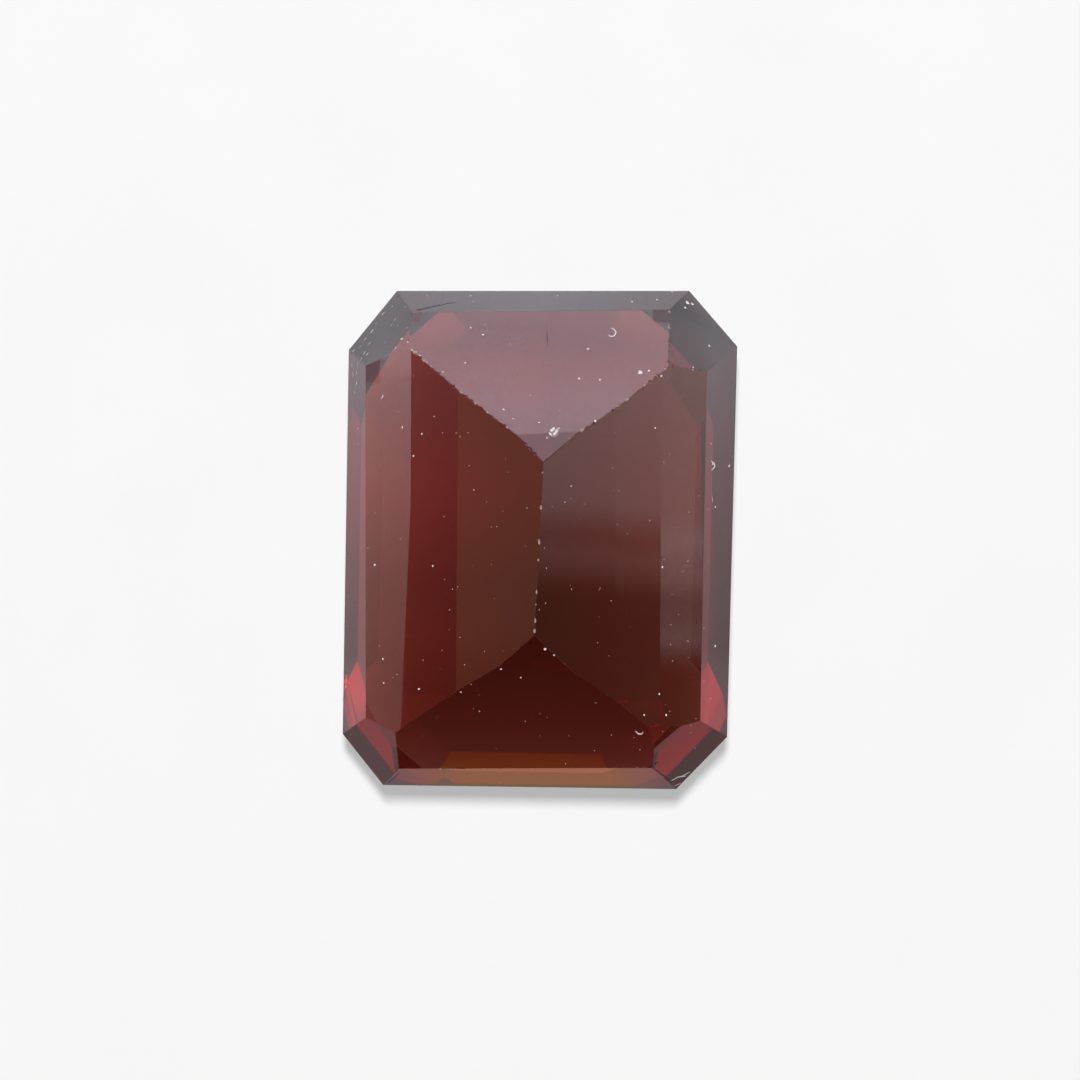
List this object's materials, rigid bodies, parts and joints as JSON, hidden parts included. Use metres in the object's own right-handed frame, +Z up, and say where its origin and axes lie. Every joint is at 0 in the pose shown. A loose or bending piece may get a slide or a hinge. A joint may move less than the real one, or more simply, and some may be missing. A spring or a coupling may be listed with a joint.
{
  "type": "emerald-cut gemstone",
  "caption": "Loose red-brown tourmaline, emerald cut, lying on its table with the keel of its stepped pavilion up.",
  "frame": {"origin": "on the table facet, below the middle of the stone's plan", "axes": "+Z up from the table to the keel, +Y along the stone's length to the end that is at the top of the picture, +X to the picture's right"},
  "size_m": [0.0082, 0.0104, 0.0055],
  "materials": {
    "tourmaline": "polished facets"
  },
  "bodies": {
    "root": {"stone": "tourmaline"}
  },
  "joints": []
}
